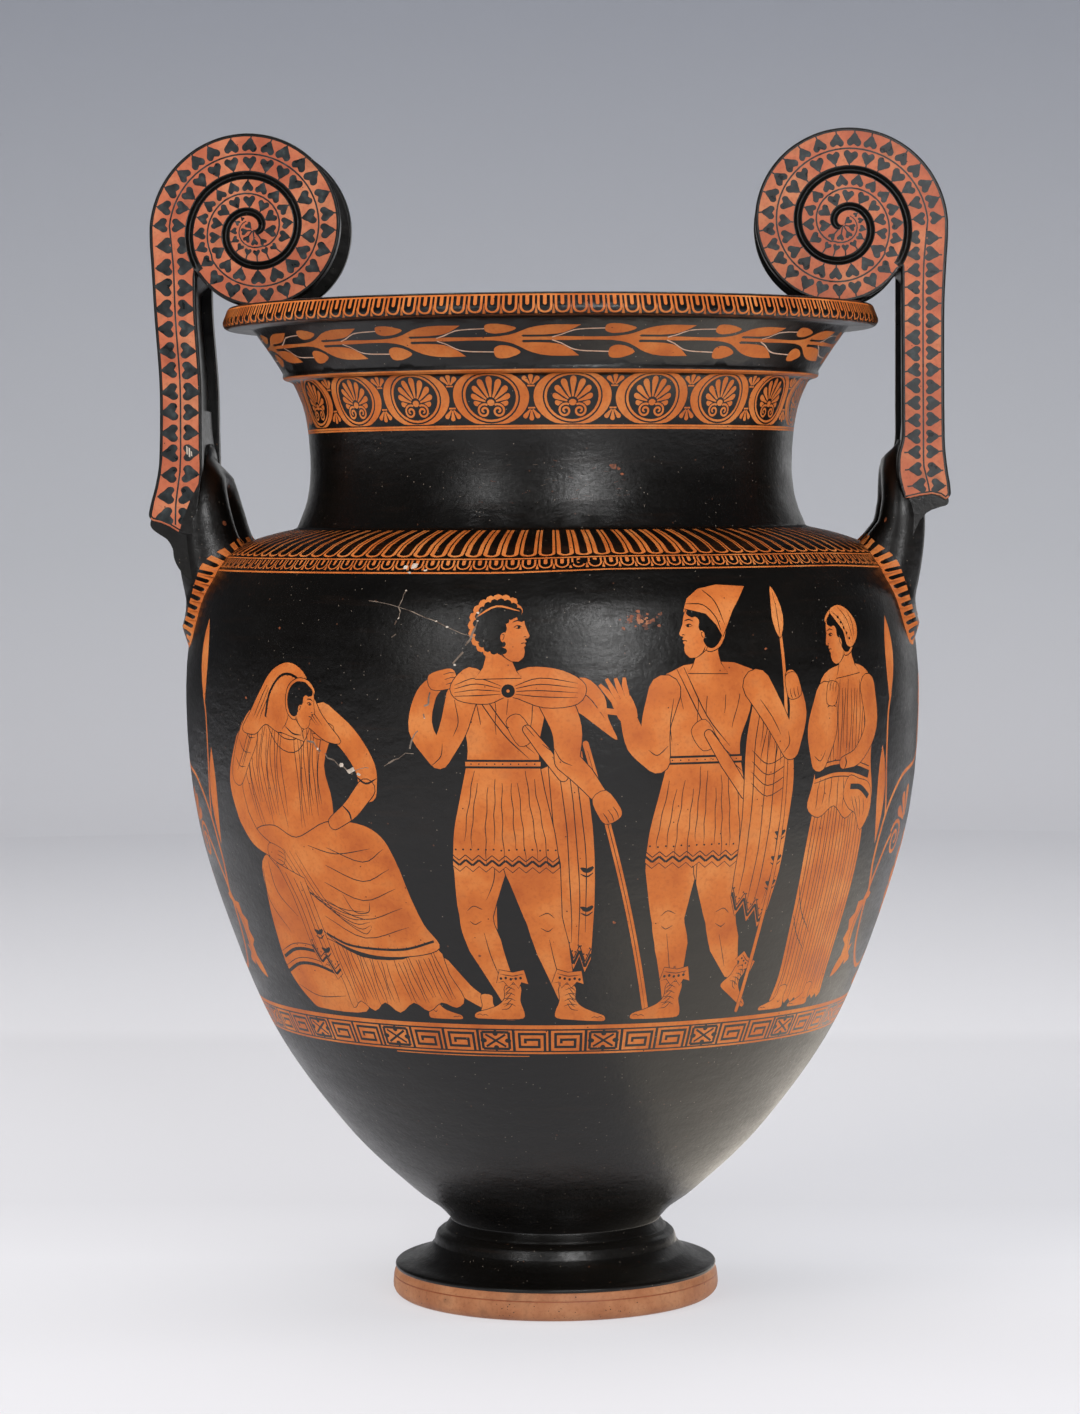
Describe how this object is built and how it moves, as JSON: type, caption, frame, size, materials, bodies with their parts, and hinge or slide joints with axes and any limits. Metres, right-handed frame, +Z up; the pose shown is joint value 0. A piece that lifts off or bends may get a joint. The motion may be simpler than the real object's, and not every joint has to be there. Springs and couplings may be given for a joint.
{
  "type": "volute krater",
  "caption": "Footed clay mixing bowl with an egg-shaped belly, flared neck, overhanging lip and tall flanged scroll handles rising from the shoulder to rest on the rim.",
  "frame": {"origin": "middle of the underside, on the turning axis, at the height of the surface it stands on", "axes": "+Z up along the turning axis, X through the two handles, Y front to back"},
  "size_m": [0.4698, 0.4366, 0.6918],
  "materials": {
    "black_gloss_clay": "glossy black slip over fired orange clay, with friezes left in the clay colour"
  },
  "bodies": {
    "root": {"krater": "black_gloss_clay"}
  },
  "joints": []
}
